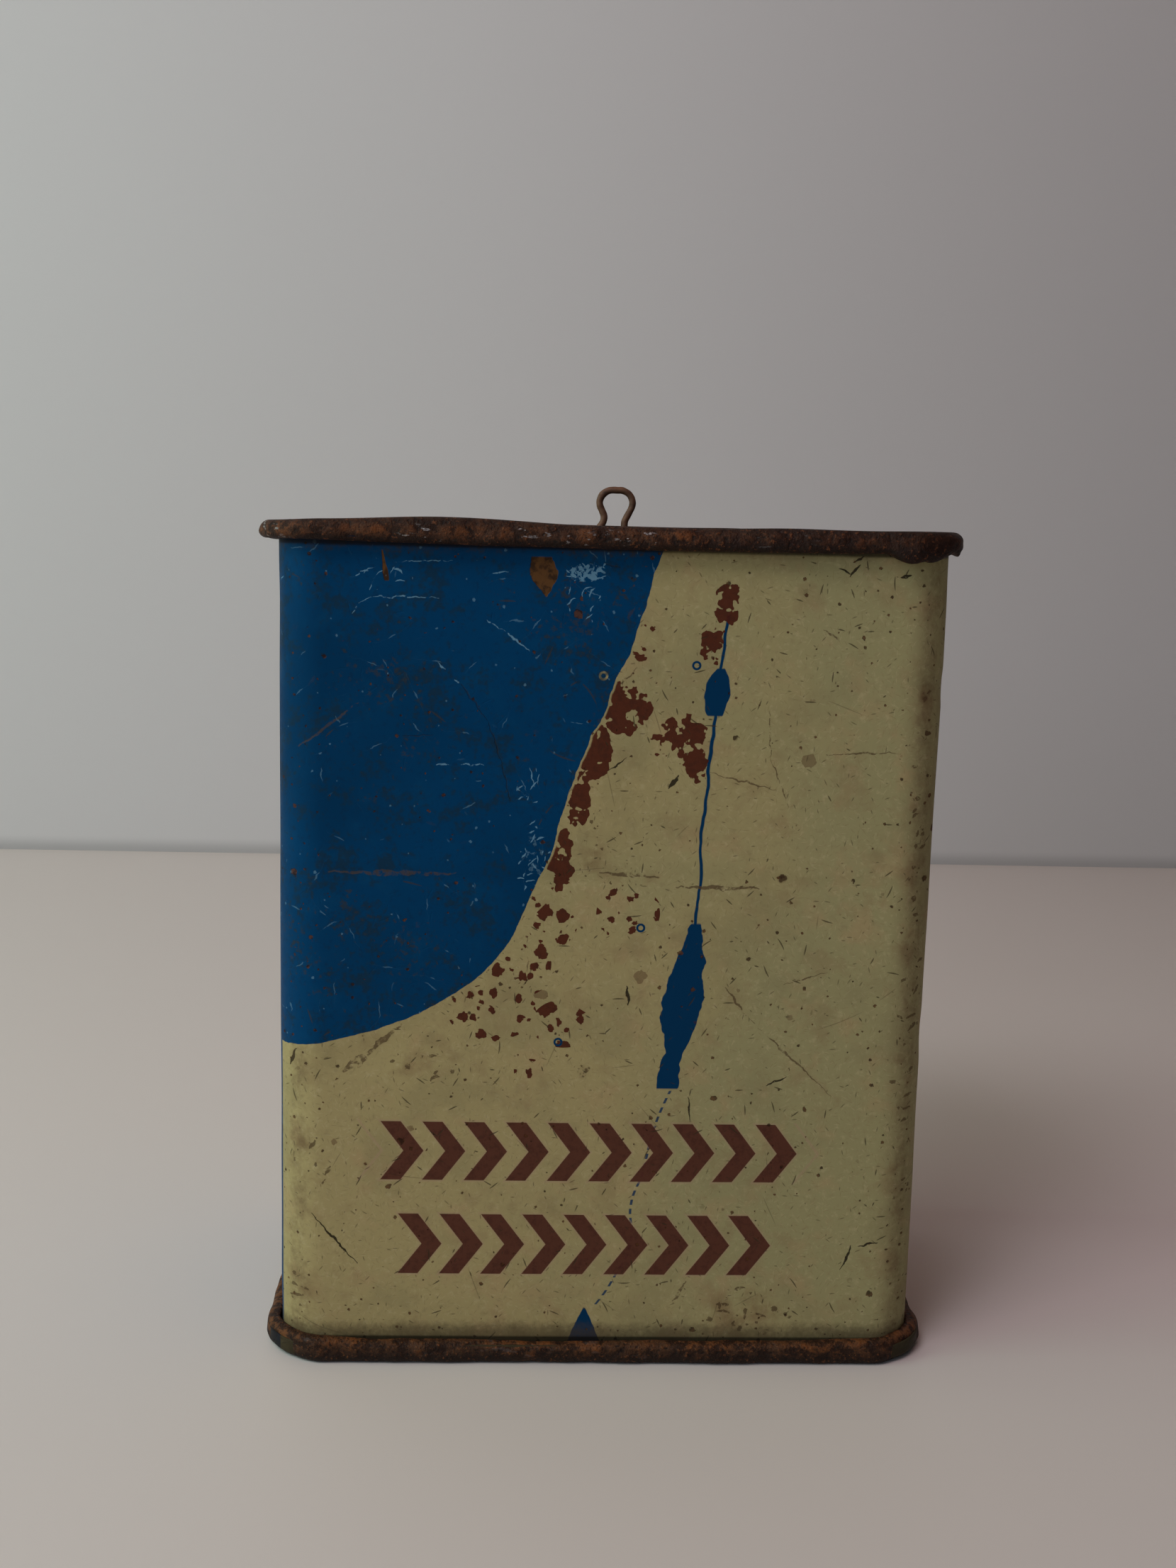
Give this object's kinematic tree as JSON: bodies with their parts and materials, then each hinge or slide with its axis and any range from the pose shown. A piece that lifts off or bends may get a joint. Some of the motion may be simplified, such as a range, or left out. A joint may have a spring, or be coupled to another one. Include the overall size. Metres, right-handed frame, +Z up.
{
  "type": "money box",
  "caption": "Upright printed-tinplate money box with rounded corners, rolled rims, a coin slot, a wire hanging loop and a hinged, locked hatch in its base.",
  "frame": {"origin": "middle of the footprint, on the surface that the base rim stands on", "axes": "+Z up towards the slot, front printed face towards -Y, +X to the right seen from the front"},
  "size_m": [0.105, 0.064, 0.1357],
  "materials": {
    "printed_tinplate": "lithographed tinplate, deep blue and pale cream with brown marks, worn and scratched",
    "rusted_tinplate": "rolled tinplate gone brown with rust, silvery where it is rubbed",
    "bare_tinplate": "dull tinplate with rust spots",
    "steel_wire": "drawn wire with a brown film",
    "solder": "grey soft solder",
    "rivet_steel": "dull tinned rivets",
    "lock_steel": "pressed steel with light rust",
    "lock_brass": "dull brass"
  },
  "bodies": {
    "tin": {"body_shell": "printed_tinplate", "top_end": "rusted_tinplate", "base_end": "rusted_tinplate", "hanging_loop": "steel_wire", "loop_solder": "solder", "slot_guard": "bare_tinplate", "hinge_leaf": "bare_tinplate", "hinge_rivets": "rivet_steel", "hinge_pin": "steel_wire"},
    "hatch": {"hatch_door": "bare_tinplate", "lock_case": "lock_steel", "keyhole_plate": "lock_brass", "lock_rivets": "rivet_steel", "detent_spring": "lock_steel"},
    "latch": {"lock_spindle": "lock_brass", "lock_cam": "lock_steel", "cam_screw": "lock_steel"}
  },
  "joints": [
    {"name": "hatch_hinge", "type": "hinge", "parent": "tin", "child": "hatch", "pos_m": [0, 0.019, 0.0019], "axis": [1, 0, 0], "range_deg": [0, 115]},
    {"name": "latch_turn", "type": "hinge", "parent": "hatch", "child": "latch", "pos_m": [0, -0.0095, 0.005], "axis": [0, 0, -1], "range_deg": [0, 90]}
  ]
}
